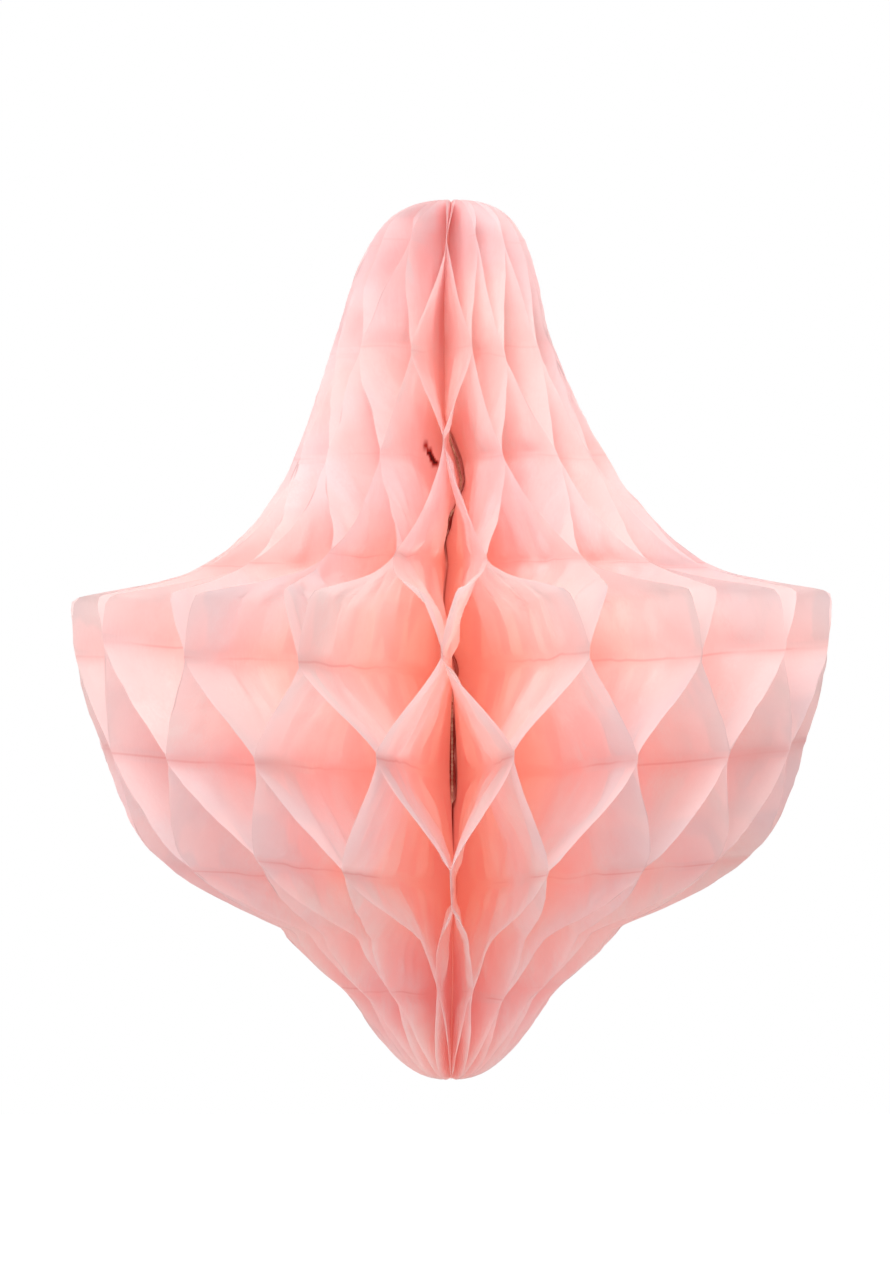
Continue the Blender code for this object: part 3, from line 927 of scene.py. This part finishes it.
tissue_leaves = [make_leaf(number) for number in range(1, LEAF_COUNT + 1)]
print("leaves made:", len(tissue_leaves))
print("their faces:", sum(len(leaf.data.polygons) for leaf in tissue_leaves))

# %% [markdown]
# ## The glued core
#
# The leaves' inner edges are glued and pressed into a narrow core round the thread. The core is closed all
# round where the leaves hold together, and painted a little dark there as painted shade. At the partings it
# is painted dark maroon, as painted shade in the slot, and open at the front, so that the thread shows there
# and no daylight comes through.

# %% Core behind the thread
CORE_RADIUS = 1.1
OPEN_SWEEP, CLOSED_SWEEP = math.radians(105), math.radians(180)
CORE_SIDES, CORE_STEP = 16, 1.5
CORE_MARGIN, CORE_UNEVEN, CORE_GRAIN = 0.5, 0.12, 3
# Painted shade on the core: a little all round, and full at the open partings. Its far distance from the
# edge gives it the full painted light of the inner paper.
CORE_SHADE, FAR_FROM_EDGE = 0.35, 100


def make_core():
    """A bent strip of glued paper edges, from top to tip, behind the thread, painted dark as shade."""
    depth = np.linspace(CORE_MARGIN, BELL_HEIGHT / MM - CORE_MARGIN, int(BELL_HEIGHT / MM / CORE_STEP))
    opening = front_opening(depth)[:, None]
    sweep = CLOSED_SWEEP + (OPEN_SWEEP - CLOSED_SWEEP) * opening
    around = np.linspace(-1, 1, CORE_SIDES + 1)[None] * sweep
    uneven = lattice_noise(depth[:, None] / CORE_GRAIN + 0 * around, around * CORE_GRAIN, CORE_SEED)
    radius = CORE_RADIUS + CORE_UNEVEN * uneven
    x = wander_at(depth)[:, None] + radius * np.sin(around)
    y = radius * np.cos(around)
    points = np.stack([x, y, -depth[:, None] + 0 * x], axis=-1) * MM
    mesh = bpy.data.meshes.new("glued_core")
    mesh.from_pydata(points.reshape(-1, 3).tolist(), [], grid_faces(*x.shape).tolist())
    spine_shade = CORE_SHADE + (1 - CORE_SHADE) * opening + 0 * x
    add_values(mesh, {"edge_distance": FAR_FROM_EDGE + 0 * x, "painted_spine_shade": spine_shade, "rise": 0.5 + 0 * x})
    mesh.materials.append(TISSUE)
    mesh.shade_smooth()
    core = add_object("glued_core", mesh)
    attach(core, "root")
    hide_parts("glued_spine")
    return core


glued_core = make_core()
print("core faces:", len(glued_core.data.polygons))

# %% [markdown]
# ## The binding thread
#
# The leaves are sewn together with a two-ply cotton thread, which shows in the partings. Each ply is a tube
# along a helix, and both follow the spine where it wanders.

# %% Twisted thread
PLY_RADIUS, PLY_OFFSET, TWIST_LENGTH = 0.21, 0.20, 3.0
PLY_SIDES, TWIST_STEPS = 6, 8


def ply_points(phase):
    """Rings of points of one ply, in millimetres."""
    turns = BELL_HEIGHT / MM / TWIST_LENGTH
    along = np.linspace(0, 1, int(turns * TWIST_STEPS) + 1)
    depth = along * BELL_HEIGHT / MM
    twist = along * turns * 2 * math.pi + phase
    across, front = PLY_OFFSET * np.sin(twist), PLY_OFFSET * np.cos(twist)
    middle = np.stack([wander_at(depth) + across, front, -depth], 1)
    around = np.arange(PLY_SIDES) * 2 * math.pi / PLY_SIDES
    ring = np.stack([np.sin(around), np.cos(around), np.zeros(PLY_SIDES)], 1) * PLY_RADIUS
    return middle[:, None, :] + ring[None]


def make_thread():
    """Both plies in one mesh, with their ends closed."""
    points, faces = [], []
    for phase in (0, math.pi):
        rings = ply_points(phase)
        start = len(points)
        points += (rings.reshape(-1, 3) * MM).tolist()
        for row in range(len(rings) - 1):
            for side in range(PLY_SIDES):
                a, b = start + row * PLY_SIDES + side, start + row * PLY_SIDES + (side + 1) % PLY_SIDES
                faces.append((a, a + PLY_SIDES, b + PLY_SIDES, b))
        faces.append([start + side for side in range(PLY_SIDES)])
        faces.append([len(points) - 1 - side for side in range(PLY_SIDES)])
    mesh = bpy.data.meshes.new("twisted_thread")
    mesh.from_pydata(points, [], faces)
    mesh.shade_smooth()
    thread = add_object("twisted_thread", mesh)
    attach(thread, "root")
    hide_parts("spine_thread")
    return thread


twisted_thread = make_thread()
print("thread faces:", len(twisted_thread.data.polygons))

# %% [markdown]
# The thread is brown cotton. Its light and dark patches are a little longer than one twist, and much finer
# noise gives it the grain of its fibres.

# %% Thread material
THREAD_DARK, THREAD_LIGHT = (0.50, 0.24, 0.17), (0.95, 0.76, 0.60)


def thread_material():
    """Brown cotton, uneven in colour, with a fine grain."""
    material = bpy.data.materials.new("cotton_thread")
    material.use_nodes = True
    tree = material.node_tree
    shader = tree.nodes["Principled BSDF"]
    place = tree.nodes.new("ShaderNodeTexCoord").outputs["Object"]
    uneven = ramp(tree, add_noise(tree, place, 260, 3), 0.3, 0.7)
    colour = mix_colours(tree, uneven, THREAD_DARK, THREAD_LIGHT)
    tree.links.new(colour, shader.inputs["Base Color"])
    shader.inputs["Roughness"].default_value = 0.8
    shader.inputs["Specular IOR Level"].default_value = 0.2
    tree.links.new(bump(tree, add_noise(tree, place, 4200, 1), 0.4, 0.0001), shader.inputs["Normal"])
    return material


twisted_thread.data.materials.append(thread_material())
print("material:", twisted_thread.data.materials[0].name)

# %% [markdown]
# ## The covers
#
# Two stiff cards lie back to back where the opened pad closes on itself. The CAD cards have the right
# shape, so they stay and only get a finish: the fibre group at a coarser scale, in a deeper pink than the
# tissue.

# %% Card material
CARD_LIGHT, CARD_DARK = (0.87, 0.47, 0.42), (0.80, 0.38, 0.34)


def card_material():
    """Uncoated pink card with a felted grain."""
    material = bpy.data.materials.new("pink_card")
    material.use_nodes = True
    tree = material.node_tree
    shader = tree.nodes["Principled BSDF"]
    fibre = tree.nodes.new("ShaderNodeGroup")
    fibre.node_tree = FIBRE_GROUP
    fibre.inputs["Cloud Scale"].default_value = 60
    fibre.inputs["Fibre Scale"].default_value = 700
    fibre.inputs["Fibre Share"].default_value = 0.55
    share = ramp(tree, fibre.outputs["Mask"], 0.3, 0.7)
    tree.links.new(mix_colours(tree, share, CARD_LIGHT, CARD_DARK), shader.inputs["Base Color"])
    shader.inputs["Roughness"].default_value = 0.75
    shader.inputs["Specular IOR Level"].default_value = 0.3
    tree.links.new(bump(tree, fibre.outputs["Height"], 0.5, FIBRE_BUMP_HEIGHT), shader.inputs["Normal"])
    return material


CARD = card_material()
for name in ("cover_card_left", "cover_card_right"):
    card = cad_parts[name]
    card.data.materials.clear()
    card.data.materials.append(CARD)
print("material:", CARD.name)

# %% [markdown]
# ## The floor
#
# A pale floor lies far below the bell, so that the shadow falls outside the picture. It glows a little for
# the camera, which sees it as white as the background.

# %% Floor
FLOOR_DEPTH = 1.2
FLOOR_SIZE = 12.0
FLOOR_COLOUR, FLOOR_ROUGHNESS, FLOOR_GLOW = (0.75, 0.75, 0.75), 0.9, 0.5


def make_floor():
    """A pale floor that keeps the shadow and looks white to the camera."""
    half = FLOOR_SIZE / 2
    mesh = bpy.data.meshes.new("floor")
    square = [(-half, -half), (half, -half), (half, half), (-half, half)]
    mesh.from_pydata([(x, y, -FLOOR_DEPTH) for x, y in square], [], [(0, 1, 2, 3)])
    floor = add_object("floor", mesh)
    material = bpy.data.materials.new("pale_floor")
    material.use_nodes = True
    tree = material.node_tree
    shader = tree.nodes["Principled BSDF"]
    shader.inputs["Base Color"].default_value = (*FLOOR_COLOUR, 1)
    shader.inputs["Roughness"].default_value = FLOOR_ROUGHNESS
    glow = tree.nodes.new("ShaderNodeEmission")
    seen = tree.nodes.new("ShaderNodeLightPath")
    rays = add_math(tree, "MAXIMUM", seen.outputs["Is Camera Ray"], seen.outputs["Is Glossy Ray"])
    tree.links.new(add_math(tree, "MULTIPLY", rays, FLOOR_GLOW), glow.inputs["Strength"])
    both = tree.nodes.new("ShaderNodeAddShader")
    tree.links.new(shader.outputs["BSDF"], both.inputs[0])
    tree.links.new(glow.outputs["Emission"], both.inputs[1])
    tree.links.new(both.outputs["Shader"], tree.nodes["Material Output"].inputs["Surface"])
    mesh.materials.append(material)
    return floor


make_floor()
print("floor at", -FLOOR_DEPTH, "m")

# %% [markdown]
# ## Light and background
#
# The world is white on every side, and one large soft lamp stands high in front, a little to the left. In
# the real bell, light bounces between the leaves many times before a deep cell gets its red colour, and the
# render follows it for only twelve bounces. Four weak coral suns without shadows, one from each side, stand
# in for the rest. They light the leaves and the core only. A fifth one lights the thread and the core.

# %% World and lamps
WORLD_STRENGTH = 0.8
KEY_POWER, KEY_SIZE, KEY_PLACE = 60.0, 2.0, (-0.7, -2.5, 2.7)
BOUNCE_COUNT = 12
BOUNCE_COLOUR, BOUNCE_STRENGTH = (1.0, 0.285, 0.24), 0.17
SPINE_COLOUR, SPINE_STRENGTH = (1.0, 0.66, 0.55), 1.1


def make_world():
    """White on every side: weaker as light, and full white to the camera and in reflections."""
    world = bpy.data.worlds.new("light_tent")
    world.use_nodes = True
    tree = world.node_tree
    background = tree.nodes["Background"]
    background.inputs["Color"].default_value = (1, 1, 1, 1)
    seen = tree.nodes.new("ShaderNodeLightPath")
    rays = add_math(tree, "MAXIMUM", seen.outputs["Is Camera Ray"], seen.outputs["Is Glossy Ray"])
    rays = add_math(tree, "MAXIMUM", rays, seen.outputs["Is Transmission Ray"])
    raised = add_math(tree, "MULTIPLY_ADD", rays, 1 - WORLD_STRENGTH)
    raised.node.inputs[2].default_value = WORLD_STRENGTH
    tree.links.new(raised, background.inputs["Strength"])
    bpy.context.scene.world = world


def add_lamp(name, place, size, power):
    """A square soft lamp that points at the middle of the bell."""
    data = bpy.data.lights.new(name, "AREA")
    data.size = size
    data.energy = power
    lamp = add_object(name, data)
    lamp.location = place
    middle = Vector((0, 0, -BELL_HEIGHT / 2))
    lamp.rotation_euler = (middle - Vector(place)).to_track_quat("-Z", "Y").to_euler()


def add_sun(name, heading, colour, strength, lit):
    """A shadowless sun from one side that lights only these objects."""
    data = bpy.data.lights.new(name, "SUN")
    data.color = colour
    data.energy = strength
    data.use_shadow = False
    lamp = add_object(name, data)
    lamp.rotation_euler = (math.radians(90), 0, math.radians(heading))
    lamp.light_linking.receiver_collection = bpy.data.collections.new(f"lit_by_{name}")
    for obj in lit:
        lamp.light_linking.receiver_collection.objects.link(obj)


def add_bounce_lamps():
    """The five suns that stand in for the bounces that a render can't follow."""
    papers = [*tissue_leaves, glued_core]
    for number in range(4):
        add_sun(f"bounce_{number}", 90 * number, BOUNCE_COLOUR, BOUNCE_STRENGTH, papers)
    add_sun("spine_bounce", 0, SPINE_COLOUR, SPINE_STRENGTH, [twisted_thread, glued_core])


make_world()
add_lamp("key", KEY_PLACE, KEY_SIZE, KEY_POWER)
add_bounce_lamps()
bpy.context.scene.cycles.diffuse_bounces = BOUNCE_COUNT
bpy.context.scene.cycles.transmission_bounces = BOUNCE_COUNT
bpy.context.scene.cycles.max_bounces = BOUNCE_COUNT
bpy.context.scene.view_settings.view_transform = "Standard"
print("key lamp:", KEY_POWER, "W, world:", WORLD_STRENGTH)
